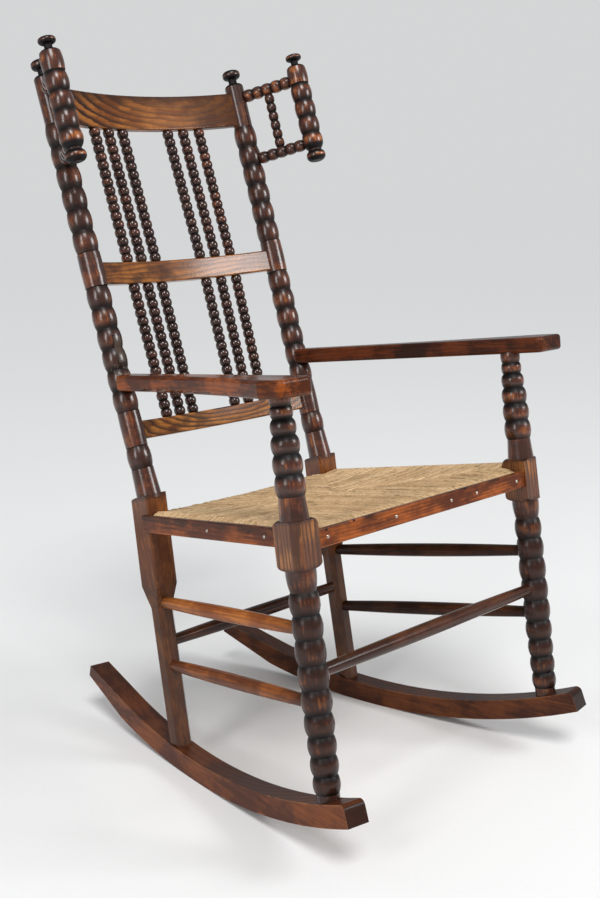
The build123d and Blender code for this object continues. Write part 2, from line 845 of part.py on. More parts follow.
# ---------------------------------------------------------------- rush seat
rush_low, rush_high = rush_levels
rush_front_y = front_face_y + strip_thickness
rush_ball = 165 ** 2 / (2 * rush_dish)
# A worn hollow above, and the slack between the rungs below.
with BuildPart(Plane(origin=on_seat(0, 195, rush_high - rush_dish + rush_ball))) as hollow:
    Sphere(rush_ball)
with BuildPart(Plane(origin=on_seat(0, 195, rush_low + rush_dish - rush_ball))) as slack:
    Sphere(rush_ball)
with BuildPart() as rush_seat:
    # Plan of the seat, between the strips.
    with BuildSketch(seat_plane(rush_low)):
        with BuildLine():
            front_half = side_face(rush_front_y, strip_thickness)
            back_half = side_face(rush_back_y, strip_thickness)
            Polyline(
                (-front_half, rush_front_y),
                (front_half, rush_front_y),
                (back_half, rush_back_y),
                (-back_half, rush_back_y),
                (-front_half, rush_front_y),
            )
        make_face()
    extrude(amount=rush_high - rush_low)
    # Side view: rolled over the front and back rungs.
    with BuildSketch(Plane(origin=on_seat(-front_half - 5, 0, 0), x_dir=seat_back, z_dir=across)):
        with BuildLine():
            roll = (rush_high - rush_low) / 2 - 3
            back_middle = (rush_high - 6 + rush_low) / 2
            Line((rush_front_y, rush_low), (rush_front_y, rush_high - rush_front_drop))
            ThreePointArc(
                (rush_front_y, rush_high - rush_front_drop),
                (rush_front_y + 8, rush_high - 3.5),
                (rush_front_y + 26, rush_high),
            )
            Line((rush_front_y + 26, rush_high), (rush_back_y - 60, rush_high))
            Line((rush_back_y - 60, rush_high), (rush_back_y - roll, rush_high - 6))
            ThreePointArc(
                (rush_back_y - roll, rush_high - 6),
                (rush_back_y, back_middle),
                (rush_back_y - roll, rush_low),
            )
            Line((rush_back_y - roll, rush_low), (rush_front_y, rush_low))
        make_face()
    extrude(amount=2 * front_half + 10, mode=Mode.INTERSECT)
    cut_by([hollow, slack])
    for piece in (whole_front_post, back_post, side_rung):
        add(piece.part, mode=Mode.SUBTRACT)
        add(on_the_left(piece).part, mode=Mode.SUBTRACT)
    cut_by([front_rung, back_rung])
    cut_by(front_nail_pins)
    for pin in side_nail_pins:
        add(pin.part, mode=Mode.SUBTRACT)
        add(on_the_left(pin).part, mode=Mode.SUBTRACT)
write(rush_seat, "rush_seat")
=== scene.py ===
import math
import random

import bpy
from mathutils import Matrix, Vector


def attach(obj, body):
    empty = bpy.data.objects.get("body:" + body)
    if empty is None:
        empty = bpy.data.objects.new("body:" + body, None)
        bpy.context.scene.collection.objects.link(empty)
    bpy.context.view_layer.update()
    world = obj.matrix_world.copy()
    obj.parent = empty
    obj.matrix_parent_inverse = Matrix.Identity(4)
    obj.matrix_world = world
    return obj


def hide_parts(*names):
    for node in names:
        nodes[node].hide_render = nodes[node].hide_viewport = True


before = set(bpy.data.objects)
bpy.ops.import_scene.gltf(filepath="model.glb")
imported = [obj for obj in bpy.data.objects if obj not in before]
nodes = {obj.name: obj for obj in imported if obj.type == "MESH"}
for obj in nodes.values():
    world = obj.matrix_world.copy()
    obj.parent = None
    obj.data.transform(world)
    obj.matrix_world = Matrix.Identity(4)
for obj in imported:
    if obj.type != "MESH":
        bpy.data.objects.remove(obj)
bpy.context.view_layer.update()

# %% [markdown]
# # A bobbin-turned rocking chair
# The wooden solids come from the CAD model and keep their shapes, so most of this lesson is
# about finishes: stain that lies black in the grooves, polish that wears red on the crowns,
# and the growth rings of each board. One piece is modelled here, the wound rush seat.
# Lengths are in metres, +Z is up and the chair faces -Y.
#
# The seat tilts back and the back leans further, so each has an origin and directions of its
# own. A piece is then placed by how far it lies along those, as its maker would measure it.

scene = bpy.context.scene
scene.view_settings.view_transform = "Standard"

SEAT_TILT = math.radians(9.6)
SEAT_ORIGIN = Vector((0, -0.25414, 0.4785))
SEAT_UP = Vector((0, math.sin(SEAT_TILT), math.cos(SEAT_TILT)))
SEAT_BACK = Vector((0, math.cos(SEAT_TILT), -math.sin(SEAT_TILT)))

POST_X = 0.1986
BACK_RAKE = math.radians(19.2)
BACK_SPLAY = math.radians(0.8)
BACK_ORIGIN = Vector((POST_X, 0.14516, 0.4746))
BACK_UP = Vector((0, math.sin(BACK_RAKE), math.cos(BACK_RAKE)))
BACK_BEHIND = Vector((0, math.cos(BACK_RAKE), -math.sin(BACK_RAKE)))
BACK_OUT = (BACK_UP + Vector((math.tan(BACK_SPLAY) * math.cos(BACK_RAKE), 0, 0))).normalized()


def on_seat(x, y, level):
    """A point x across, y behind the front posts, level above their block tops."""
    return SEAT_ORIGIN + Vector((x, 0, 0)) + SEAT_BACK * y + SEAT_UP * level


# %% [markdown]
# ## Camera
# The chair is seen from its front left, from well above the arms and looking slightly down. A
# vertical sensor keeps the lens's meaning the same in a tall picture.

# %% Camera
LOOK_DOWN, LOOK_RIGHT = 12.34, 46.04  # degrees
camera_data = bpy.data.cameras.new("camera")
camera = bpy.data.objects.new("camera", camera_data)
scene.collection.objects.link(camera)
camera.location = (-1.5241, -1.4802, 0.9609)
camera.rotation_euler = (math.radians(90 - LOOK_DOWN), 0, math.radians(-LOOK_RIGHT))
camera_data.sensor_fit = "VERTICAL"
camera_data.sensor_height = 36
camera_data.lens = 54.12
scene.camera = camera
print("camera at", tuple(round(v, 3) for v in camera.location))

# %% [markdown]
# ## Writing finishes as sums
# A finish is a small web of shader nodes. Wiring each by hand in code is long, so one class
# wraps a node's output and lets plain maths add the Math nodes. A second class holds the
# material and makes any other node with one method.


# %% A wire that can be added, multiplied and compared
class Wire:
    """One output of a shader node. Maths on it adds Math nodes to the same finish."""

    def __init__(self, finish, socket):
        self.finish = finish
        self.socket = socket

    def maths(self, operation, *values):
        return self.finish.node("ShaderNodeMath", {"operation": operation}, dict(enumerate(values)))

    def __add__(self, other):
        return self.maths("ADD", self, other)

    def __radd__(self, other):
        return self.maths("ADD", other, self)

    def __sub__(self, other):
        return self.maths("SUBTRACT", self, other)

    def __rsub__(self, other):
        return self.maths("SUBTRACT", other, self)

    def __mul__(self, other):
        return self.maths("MULTIPLY", self, other)

    def __rmul__(self, other):
        return self.maths("MULTIPLY", other, self)

    def __truediv__(self, other):
        return self.maths("DIVIDE", self, other)

    def size(self):
        """How large the value is, whatever its sign."""
        return self.maths("ABSOLUTE", self)

    def or_more(self, other):
        """The larger of two values."""
        return self.maths("MAXIMUM", self, other)


# %% The finish, with one method for any node
class Finish:
    """A material under its maker's name, and the nodes that make it."""

    def __init__(self, name):
        self.material = bpy.data.materials.new(name)
        self.material.use_nodes = True
        self.tree = self.material.node_tree
        self.shader = self.tree.nodes["Principled BSDF"]

    def feed(self, socket, value):
        if isinstance(value, Wire):
            self.tree.links.new(value.socket, socket)
        else:
            socket.default_value = value

    def node(self, kind, settings=None, inputs=None, output=0):
        made = self.tree.nodes.new(kind)
        for key, value in (settings or {}).items():
            setattr(made, key, value)
        for key, value in (inputs or {}).items():
            self.feed(made.inputs[key], value)
        return Wire(self, made.outputs[output])

    def vector(self, operation, *values, output="Vector"):
        return self.node("ShaderNodeVectorMath", {"operation": operation}, dict(enumerate(values)), output)

    def dot(self, one, other):
        """How far one direction runs along another."""
        return self.vector("DOT_PRODUCT", one, other, output="Value")

    def length(self, vector):
        return self.vector("LENGTH", vector, output="Value")

    def step(self, value, low, high):
        """0 below low, 1 above high, and a smooth rise between."""
        return self.node(
            "ShaderNodeMapRange",
            {"interpolation_type": "SMOOTHSTEP"},
            {"Value": value, "From Min": low, "From Max": high},
        )

    def part(self, vector, axis):
        """The x, y or z (0, 1 or 2) of a vector."""
        return self.node("ShaderNodeSeparateXYZ", None, {0: vector}, axis)

    def join(self, x, y, z):
        return self.node("ShaderNodeCombineXYZ", None, {0: x, 1: y, 2: z})

    def noise(self, place, scale, detail=2.0, roughness=0.5):
        settings = {"Vector": place, "Scale": scale, "Detail": detail, "Roughness": roughness}
        return self.node("ShaderNodeTexNoise", None, settings)

    def blend(self, factor, low, high):
        """One colour turning into another. A Mix node keeps its colours in sockets 6 and 7."""
        return self.node("ShaderNodeMix", {"data_type": "RGBA"}, {0: factor, 6: low, 7: high}, 2)

    def place(self, mirrored=True):
        """Where the shaded point is. Both sides of the chair can share one half's pattern."""
        here = self.node("ShaderNodeTexCoord", output="Object")
        if not mirrored:
            return here
        return self.join(self.part(here, 0).size(), self.part(here, 1), self.part(here, 2))

    def facing(self):
        """Which way the surface faces, with the left half turned over onto the right."""
        normal = self.node("ShaderNodeTexCoord", output="Normal")
        x = self.part(self.node("ShaderNodeTexCoord", output="Object"), 0)
        across = self.part(normal, 0) * x.maths("SIGN", x)
        return self.join(across, self.part(normal, 1), self.part(normal, 2))

    def shade(self, **inputs):
        for key, value in inputs.items():
            self.feed(self.shader.inputs[key.replace("_", " ")], value)

    def bump(self, height, strength, distance):
        settings = {"Height": height, "Strength": strength, "Distance": distance}
        return self.node("ShaderNodeBump", None, settings)


def colour(red, green, blue):
    return (red, green, blue, 1)


def palette(*stops):
    """The colours of one wood, each as its red, green and blue."""
    return tuple(colour(*stop) for stop in stops)


def dress(finish, names):
    """Give CAD nodes this finish in place of the plain one they came with."""
    for name in names:
        mesh = nodes[name].data
        for slot in range(max(1, len(mesh.materials))):
            if slot < len(mesh.materials):
                mesh.materials[slot] = finish.material
            else:
                mesh.materials.append(finish.material)
    print(finish.material.name, "on", len(names), "nodes,", len(finish.tree.nodes), "shader nodes")


# %% [markdown]
# ## Timber
# A tree is a stack of cones round its pith. Cut anywhere, its surface shows where it passes
# from one year's ring to the next: straight lines on a quartered face, long pointed arches on
# a flat-sawn one, ovals on a turned bead. A flat picture of wood would show the same lines on
# every face. So the pattern here is made in space, from the distance to a pith that lies
# outside the board, and each surface cuts its own figure from it.


# %% A board's own axes
def board_space(finish, place, origin, along, up=(0, 0, 1)):
    """How far a point lies along a board, up it and through it."""
    along = Vector(along).normalized()
    through = along.cross(Vector(up)).normalized()
    rise = through.cross(along)
    offset = finish.vector("SUBTRACT", place, origin)
    return [finish.dot(offset, axis) for axis in (along, rise, through)]


def drawn_out(finish, space, share):
    """Space squeezed along the board, so that a pattern read there is drawn out along it."""
    run, rise, through = space
    return finish.join(run * share, rise, through)


# %% Growth rings and pores in space
def timber(finish, space, pith, spacing, wobble, oval=0.0):
    """Rings (0 to 1 across each year) and pores of one tree, in a board's own axes."""
    fibre = drawn_out(finish, space, 0.045)
    drift = finish.noise(drawn_out(finish, space, 0.35), 14, 3) - 0.5
    fine = finish.noise(fibre, 160, 3) - 0.5
    from_pith = finish.length(finish.vector("SUBTRACT", drawn_out(finish, space, oval), pith))
    year = (from_pith + drift * wobble + fine * (spacing * 0.5)) / spacing
    return year.maths("FRACT", year), finish.noise(fibre, 800, 3, 0.6)


def latewood(finish, ring):
    """The dark part of each year: it deepens slowly and ends at a sharp line."""
    return finish.step(ring, 0.25, 0.85) * (1 - finish.step(ring, 0.93, 1.0))


def figure(finish, place, space, ring, pores, tones, lines):
    """The colours of a sawn face: light wood in clouds on the ground tone, dark lines over both."""
    line, ground, light = tones[:3]
    patches = finish.noise(place, 13, 4, 0.62)
    streaks = finish.noise(drawn_out(finish, space, 0.12), 70, 3, 0.6)
    hairs = finish.noise(drawn_out(finish, space, 0.06), 330, 2, 0.6)
    tone = patches + (streaks - 0.5) * 0.5 + (hairs - 0.5) * 0.35
    wood = finish.blend(finish.step(tone, 0.38, 0.66), ground, light)
    strength = lines(finish, space) if callable(lines) else lines
    figured = finish.blend(latewood(finish, ring) * (0.45 + patches) * strength, wood, line)
    return finish.blend(finish.step(pores, 0.56, 0.72) * 0.55, figured, line), patches


# %% [markdown]
# ## Turned wood
# The posts and spindles were stained dark and polished for many years. Stain and old wax fill
# the grooves, and hands rub the crowns back to red. This could be painted bead by bead, but on
# a crown the surface runs with the turning's axis and in a groove it slopes, so the slope says
# how deep the stain lies, on every bead at once. A thin neck has a crown's slope too, and its
# distance from the axis tells it apart.

# %% The colours of the stain
DEEP = colour(0.0045, 0.0028, 0.0025)
DARK = colour(0.026, 0.0095, 0.0062)
RED = colour(0.150, 0.036, 0.012)
ORANGE = colour(0.36, 0.115, 0.025)
# The next colour is painted shade, laid on the low part of a sawn leg.
LEG_SHADE = colour(0.015, 0.0062, 0.0032)
NECK = 0.0110


def stain(finish, space, crest, warm, patches, streaks, foot):
    """Black in the grooves, red where the crowns are rubbed, and orange where they are bare."""
    rubbed = finish.step(patches + (streaks - 0.5) * 0.5, 0.42, 0.62)
    warmth = crest * (rubbed * warm + warm * 0.35)
    reds = finish.blend(warmth * (1 - foot * 0.75), finish.blend(crest, DEEP, DARK), RED)
    heat = warmth * 0.7 + (streaks - 0.5) * 1.1 + (patches - 0.5) * 0.9
    glow = finish.step(heat, 0.42, 0.95) * crest * (1 - foot * 0.55)
    return finish.blend(glow, reds, ORANGE)


def square_stretch(finish, place, space, ring, pores, patches, stretch):
    """Where a post was left square: 1 along that stretch, and the colours of its sawn faces, with painted
    shade low on a leg.
    """
    low, high, tones, lines = stretch
    begun = finish.step(space[0], low - 0.004, low + 0.004)
    ended = finish.step(space[0], high - 0.004, high + 0.004)
    face = figure(finish, place, space, ring, pores, tones, lines)[0]
    # Painted shade darkens a sawn leg towards the floor. A front post's block lies above it.
    shin_shade = 1 - finish.step(space[0] + (patches - 0.5) * 0.06, -0.20, -0.13)
    return begun * (1 - ended), finish.blend(shin_shade * 0.60, face, LEG_SHADE)


# %% The finish of a turning
def turned_finish(
    name, start, direction, steep, warm, sawn=None, mirrored=True, core=NECK, mend=None, gloss=0.24
):
    """Dark stained turning round the axis that runs from start in its direction.

    Steep is a groove's slope, warm how red the crowns are rubbed, and core the radius under
    which a neck stays dark. Sawn is a stretch that was left square, and mend a repair. Gloss is
    the roughness of the coat, so a lower one shines more.
    """
    finish = Finish(name)
    place = finish.place(mirrored)
    facing = finish.facing()
    direction = Vector(direction).normalized()
    space = board_space(finish, finish.place(), start, direction, (0.3, 1, 0))
    slope = finish.dot(facing, direction)
    ring, pores = timber(finish, space, (0, 0.021, 0.034), 0.0034, 0.009)
    late = latewood(finish, ring)
    radius = finish.length(finish.join(0, space[1], space[2]))
    level_ground = 1 - finish.step(slope.size(), steep * 0.25, steep)
    crest = level_ground * finish.step(radius, core, core + 0.004)
    patches = finish.noise(place, 34, 3, 0.6)
    streaks = finish.noise(drawn_out(finish, space, 0.08), 260, 3, 0.6)
    # Hands seldom reach below the seat, so the crowns are darker there.
    foot = 1 - finish.step(space[0], -0.10, -0.05)
    golden = stain(finish, space, crest, warm, patches, streaks, foot)
    lines = (late * 0.25 + finish.step(pores, 0.54, 0.70) * 0.4) * crest
    stained = finish.blend(lines.maths("MINIMUM", lines, 0.85), golden, DEEP)
    if sawn is not None:
        flat, face = square_stretch(finish, place, space, ring, pores, patches, sawn)
        stained = finish.blend(flat, stained, face)
    if mend is not None:
        stained = mend(finish, stained, space, facing, streaks)
    rough = 0.21 + (1 - crest) * 0.25 + (patches - 0.5) * 0.14 + lines * 0.06
    height = pores * 0.4 + (1 - late) * 0.2 + patches * 2.0
    finish.shade(Base_Color=stained, Roughness=rough, Normal=finish.bump(height, 0.12, 0.0012))
    finish.shade(Coat_Weight=crest * (0.80 - foot * 0.50), Coat_Roughness=gloss, Specular_IOR_Level=0.2)
    return finish


# %% [markdown]
# ## Posts
# The front post's square block was never turned, so its grain runs straight from top to
# bottom and shows orange under the polish. The back post's sawn leg is browner, and painted
# shade darkens its lower part. Each could be a piece with a finish of its own, but they are one
# stick of wood, so the finish only changes along the post's axis.

# %% Front posts
TOFFEE = palette((0.022, 0.008, 0.005), (0.130, 0.040, 0.013), (0.35, 0.130, 0.030))
UMBER = palette((0.034, 0.011, 0.005), (0.112, 0.031, 0.0080), (0.265, 0.082, 0.0155))
# A square stretch: from and to along the post, its colours, and how strong its year lines are
block = (-0.0640, -0.0035, TOFFEE, 0.8)
front_post = turned_finish(
    "front post, stained", on_seat(0.2635, 0, 0), SEAT_UP, steep=0.42, warm=0.50, sawn=block
)
dress(front_post, ["front_post_left", "front_post_right"])

# %% [markdown]
# The left back post was mended: a plug is let into its front above the arm, and old glue
# has run below it. Both are only a change of colour on a smooth face, so they are masks made
# from how far a point lies from the plug's middle, and need no piece of their own.

# %% The plug in the left back post
PLUG_LEVEL, PLUG_HALF_WIDTH, PLUG_HALF_HEIGHT = 0.1905, 0.0072, 0.0219
GAP = 0.0016
GLUE_DROP, GLUE_HALF_HEIGHT = 0.036, 0.017


def within(finish, value, half, soft=0.0008):
    """1 while value lies less than half from zero."""
    return 1 - finish.step(value.size(), half - soft, half)


def mended(finish, stained, space, facing, streaks):
    """A plug let into the front of the post, paler than the wood round it, and old glue below."""
    front = finish.step(finish.dot(facing, BACK_BEHIND * -1), 0.1, 0.35)
    side = finish.part(finish.place(), 0) - (space[0] * BACK_OUT.x + BACK_ORIGIN.x)
    level = space[0] - PLUG_LEVEL
    wide, tall = PLUG_HALF_WIDTH + GAP, PLUG_HALF_HEIGHT + GAP
    cut = within(finish, side, wide) * within(finish, level, tall) * front
    plug = within(finish, side, PLUG_HALF_WIDTH) * within(finish, level, PLUG_HALF_HEIGHT) * front
    crust = finish.step(finish.noise(finish.place(), 120, 3, 0.6), 0.52, 0.62)
    glue = crust * within(finish, level + GLUE_DROP, GLUE_HALF_HEIGHT, 0.012) * front * 0.6
    pale = finish.blend(streaks, colour(0.032, 0.019, 0.013), colour(0.095, 0.062, 0.044))
    glued = finish.blend(glue, finish.blend(cut, stained, DEEP), colour(0.17, 0.115, 0.08))
    return finish.blend(plug * 0.9, glued, pale)


# %% Back posts
leg = (-0.8, -0.050, UMBER, 0.4)
for side, mend in (("left", mended), ("right", None)):
    back_post = turned_finish(
        f"back post {side}, stained", BACK_ORIGIN, BACK_OUT, 0.34, 0.45, sawn=leg, mirrored=False, mend=mend
    )
    dress(back_post, [f"back_post_{side}"])

# %% [markdown]
# ## Spindles of the back
# The twelve spindles stand between bowed rails, so each has its own axis, and its grooves and
# crowns are told apart along that axis. The middle and lower rails lie on an arc whose middle
# is 24 mm behind the posts, and the crest is bowed by 31.5 mm. Mirrored spindles share a finish.

# %% Where the rails lie, up the back from its lowest bead
CREST_FOOT = 0.5658
MIDDLE_TOP, MIDDLE_FOOT = 0.3353, 0.299
LOWER_TOP, LOWER_FOOT = 0.0743, 0.045
CREST_BOW, RAIL_BOW = 0.0315, 0.024
# How far a spindle stands from the middle: at the crest and middle rails, and at the lower rail
SPINDLES = [(0.050, 0.048), (0.0825, 0.0785), (0.115, 0.110)]


def on_back(x, level, bow):
    """A point on the bowed middle of a rail, x across and level up from the lowest bead."""
    radius = (POST_X ** 2 + bow ** 2) / (2 * bow)
    depth = bow - radius + math.sqrt(radius * radius - x * x)
    return Vector((x, BACK_ORIGIN.y, BACK_ORIGIN.z)) + BACK_UP * level + BACK_BEHIND * depth


# %% Spindles, redder towards the posts
for row, (top, foot) in enumerate(SPINDLES, start=1):
    crest_end = on_back(top, CREST_FOOT, CREST_BOW)
    middle_top = on_back(top, MIDDLE_TOP, RAIL_BOW)
    middle_foot = on_back(top, MIDDLE_FOOT, RAIL_BOW)
    lower_end = on_back(foot, LOWER_TOP, RAIL_BOW)
    warm = 0.08 + 0.12 * row
    for place, start, end, share in (
        ("upper", middle_top, crest_end, 1.0),
        ("lower", lower_end, middle_foot, 0.6),
    ):
        spindle = turned_finish(
            f"{place} spindle {row}, stained", start, end - start, 0.70, warm * share, core=0, gloss=0.10
        )
        dress(spindle, [f"{place}_spindle_{row}_left", f"{place}_spindle_{row}_right"])

# %% [markdown]
# ## Wings
# A short turned post stands off each back post on two beaded rails, with a spindle between
# them. All four could share one finish, but its grooves are found along an axis, and the wing
# swings forward from the post. So post and spindle follow the back's direction and the rails
# follow the wing's. The wing post is redder than any other turning.

# %% Wings
WING_SWING = math.radians(29.5)
WING_REACH, SPINDLE_REACH = 0.119, 0.0595
WING_TOP, WING_FOOT = 0.6158, 0.5005
wing_out = Vector((math.sin(WING_SWING), 0, 0)) - BACK_BEHIND * math.cos(WING_SWING)
post_foot, spindle_foot = (BACK_ORIGIN + wing_out * reach for reach in (WING_REACH, SPINDLE_REACH))
top_end, low_end = (BACK_ORIGIN + BACK_OUT * level for level in (WING_TOP, WING_FOOT))
for part, called, start, direction, steep, warm, core in (
    ("post", "post", post_foot, BACK_OUT, 0.38, 0.70, NECK),
    ("top_rail", "top rail", top_end, wing_out, 0.58, 0.60, 0),
    ("bottom_rail", "low rail", low_end, wing_out, 0.58, 0.40, 0),
    ("spindle", "spindle", spindle_foot, BACK_OUT, 0.57, 0.40, 0),
):
    beaded = turned_finish(f"wing {called}, stained", start, direction, steep, warm, core=core)
    dress(beaded, [f"wing_{part}_left", f"wing_{part}_right"])

# %% [markdown]
# ## Boards
# The rails, arms, rockers and strips are flat sawn. Their polish has rubbed off along the
# edges, where the wood shows through. A mask could be painted along them, but every board would
# need its own. A Bevel node gives the normal that a surface would have if its edges were
# rounded over a few millimetres, and where that differs from the real one there is an edge.


# %% The finish of a board
def board_finish(
    name, axes, tones, pith, spacing, oval, wobble, lines, wear, gloss, shadow=None, coat=0.06
):
    """Polished board: tones are the dark line, the ground, the light wood and the worn edge.

    Pith is where the tree's middle lies, spacing the width of a year, oval how much of the
    board's length counts in the distance to the pith, and wobble how far a ring strays. Lines
    and wear are the strength of the year lines and of the rubbed edge. Gloss is the roughness
    of the polish, so a lower one shines more.
    """
    finish = Finish(name)
    place = finish.place(mirrored=False)
    space = board_space(finish, place, *axes)
    ring, pores = timber(finish, space, pith, spacing, wobble, oval)
    late = latewood(finish, ring)
    shown, patches = figure(finish, place, space, ring, pores, tones, lines)
    rounded = finish.node("ShaderNodeBevel", {"samples": 4}, {"Radius": 0.0035})
    plain = finish.node("ShaderNodeNewGeometry", output="Normal")
    scuffs = finish.noise(place, 60, 3, 0.6)
    edge = finish.step(1 - finish.dot(rounded, plain), 0.01, 0.16)
    rub = edge * finish.step(scuffs + patches, 0.85, 1.15) * wear
    shown = finish.blend(rub, shown, tones[3])
    if shadow is not None:
        shown = finish.blend(shadow(finish, space), shown, tones[0])
    rough = gloss + (patches - 0.5) * 0.18 + late * 0.06 + rub * 0.2
    height = pores * 0.5 + (1 - late) * 0.35 + scuffs * 0.4
    finish.shade(Base_Color=shown, Roughness=rough, Normal=finish.bump(height, 0.14, 0.001))
    finish.shade(Coat_Weight=coat, Coat_Roughness=0.18, Specular_IOR_Level=0.16)
    return finish


# %% [markdown]
# ## Rails of the back
# These are the palest and boldest boards of the chair. The saw met their rings almost flat, so
# they show as long nested ovals. Squeezing space along the board before measuring the distance
# to the pith draws just that. Each rail has its own pith, so that no two figures are alike.

# %% Golden wood, and where its polish lies dark
GOLDEN = palette((0.040, 0.0140, 0.0055), (0.20, 0.066, 0.016), (0.40, 0.155, 0.031), (0.42, 0.22, 0.085))
AMBER = palette((0.032, 0.0108, 0.0045), (0.160, 0.048, 0.0110), (0.32, 0.112, 0.021), (0.40, 0.20, 0.075))


def rail_axes(level):
    return Vector((0, BACK_ORIGIN.y, BACK_ORIGIN.z)) + BACK_UP * level, (1, 0, 0), BACK_UP


def crest_shadow(finish, space):
    """Old polish lies dark along the upper edge and over the right third."""
    cloud = finish.noise(finish.join(space[0], space[1] * 2, 0), 24, 3) * 0.05
    right = finish.step(space[0] + cloud, 0.085, 0.16) * 0.66
    upper = finish.step(space[1] + cloud * 0.5, 0.046, 0.072) * 0.85
    return right.or_more(upper)


def rail_ends(finish, space):
    """Polish has darkened in clouds on the left and where the rails enter the posts."""
    cloud = finish.noise(finish.join(space[0], space[1] * 1.5, 0), 22, 3)
    ends = finish.step(space[0].size() + cloud * 0.04, 0.175, 0.215) * 0.6
    clouds = finish.step(cloud, 0.46, 0.66) * (1 - finish.step(space[0], -0.06, 0.10)) * 0.7
    return ends.or_more(clouds)


def crest_lines(finish, space):
    """The year lines are boldest on the left."""
    return 1.15 - finish.step(space[0], -0.13, 0.04) * 0.7


# %% Rails of the back
crest = board_finish(
    "crest rail, golden", rail_axes(CREST_FOOT), AMBER, pith=(0.021, 0.072, 0.004), spacing=0.0105,
    oval=0.36, wobble=0.022, lines=crest_lines, wear=0.3, gloss=0.26, shadow=crest_shadow, coat=0.25,
)
middle = board_finish(
    "middle rail, golden", rail_axes(MIDDLE_FOOT), AMBER, pith=(0.004, -0.020, 0.004), spacing=0.0066,
    oval=0.12, wobble=0.028, lines=0.6, wear=0.3, gloss=0.2, shadow=rail_ends, coat=0.5,
)
lower = board_finish(
    "lower rail, golden", rail_axes(LOWER_FOOT), GOLDEN, pith=(0.006, 0.048, 0.004), spacing=0.0070,
    oval=0.30, wobble=0.020, lines=0.9, wear=0.3, gloss=0.2, shadow=rail_ends, coat=0.5,
)
dress(crest, ["crest_rail"])
dress(middle, ["middle_rail"])
dress(lower, ["lower_rail"])

# %% [markdown]
# ## Arms, rockers and facing strips
# These boards are redder and darker than the rails, and darker on the right than on the left.
# End grain drinks stain, what faces up on a rocker is darker, and nails leave holes. These marks
# could be painted, but each follows from where a point lies or which way it faces, so each is
# one small mask.

# %% Colours from dark line to worn edge
RUSSET = palette((0.016, 0.0055, 0.0035), (0.070, 0.0170, 0.0050), (0.27, 0.064, 0.011), (0.38, 0.16, 0.06))
OXBLOOD = palette(
    (0.010, 0.0045, 0.0032), (0.028, 0.0090, 0.0048), (0.125, 0.029, 0.0085), (0.30, 0.12, 0.05)
)
BRICK = palette((0.018, 0.0060, 0.0035), (0.100, 0.023, 0.0070), (0.36, 0.090, 0.016), (0.36, 0.15, 0.06))
MAHOGANY = palette(
    (0.019, 0.0065, 0.0040), (0.070, 0.0175, 0.0060), (0.190, 0.051, 0.012), (0.34, 0.15, 0.06)
)
WALNUT = palette(
    (0.013, 0.0048, 0.0032), (0.044, 0.0122, 0.0050), (0.120, 0.034, 0.0095), (0.28, 0.12, 0.05)
)
ROCKER_FRONT = Vector((0.160, -0.987, 0))
LOST_NAILS = ((-0.223, -0.001), (-0.166, 0.001), (0.089, 0.001))


# %% What darkens a rocker and a strip
def rocker_shadow(finish, space):
    """The cut front end of a rocker drinks the stain, and what faces up on it is darker."""
    facing = finish.facing()
    front = finish.dot(facing, ROCKER_FRONT)
    nose = finish.step(front, 0.30, 0.60) * finish.step(space[0] * -1, 0.2, 0.3) * 0.92
    upper = finish.step(finish.part(facing, 2), 0.55, 0.9) * 0.55
    return nose.or_more(upper)


def strip_shadow(finish, space):
    """Dark blotches along the upper edge of a strip."""
    cloud = finish.noise(finish.join(space[0] * 0.6, space[1] * 1.5, space[2]), 34, 4, 0.65)
    return finish.step(space[1] * 14 + cloud, 0.42, 0.72) * 0.8


def front_strip_shadow(finish, space):
    """The same blotches, and three holes that have lost their nails."""
    dark = strip_shadow(finish, space)
    for x, level in LOST_NAILS:
        away = finish.length(finish.join(space[0] - x, (space[1] - level) * 1.2, 0))
        dark = dark.or_more(1 - finish.step(away, 0.0015, 0.0040))
    return dark


# %% Arms, rockers and facing strips
def strip_finish(name, axes, wear, gloss, shadow):
    """One thin facing strip in its own axes."""
    return board_finish(
        name, axes, BRICK, pith=(0, 0.06, 0.03), spacing=0.0050,
        oval=0.1, wobble=0.012, lines=0.4, wear=wear, gloss=gloss, shadow=shadow,
    )


for side, sign, red, brown in (("left", -1, RUSSET, MAHOGANY), ("right", 1, OXBLOOD, WALNUT)):
    arm_axes = (Vector((sign * 0.24, -0.05, 0.64)), (sign * 0.17, -1, 0.125))
    rocker_axes = (Vector((sign * 0.212, -0.004, 0.05)), (sign * -0.162, 1, 0))
    strip_axes = (on_seat(sign * 0.262, 0, -0.02), (sign * -0.158, SEAT_BACK.y, SEAT_BACK.z), SEAT_UP)
    arm = board_finish(
        f"arm {side}, russet", arm_axes, red, pith=(0, -0.06, 0.03), spacing=0.0060,
        oval=0.1, wobble=0.014, lines=0.25, wear=0.7, gloss=0.2, coat=0.04,
    )
    rocker = board_finish(
        f"rocker {side}, worn", rocker_axes, brown, pith=(0.01, -0.07, 0.05), spacing=0.0090,
        oval=0.12, wobble=0.020, lines=0.14, wear=0.8, gloss=0.34, shadow=rocker_shadow,
    )
    strip = strip_finish(f"strip {side}, brick", strip_axes, 0.6, 0.28, strip_shadow)
    dress(arm, [f"arm_{side}"])
    dress(rocker, [f"rocker_{side}"])
    dress(strip, [f"facing_strip_{side}"])
front_axes = (on_seat(0, 0, -0.02), (1, 0, 0), SEAT_UP)
front_strip = strip_finish("strip front, brick", front_axes, 0.7, 0.26, front_strip_shadow)
dress(front_strip, ["facing_strip_front"])

# %% [markdown]
# ## Stretchers and rungs
# The stretchers are plain round rods. On the left the upper one is orange and the lower one
# garnet, and the right pair is nearly black. A rod has no grooves for the finish of a turning
# to find, so it takes the finish of a board: the rings are cut in space, and fit a round rod as
# well as a flat face. The rungs inside the rush are bare wood.

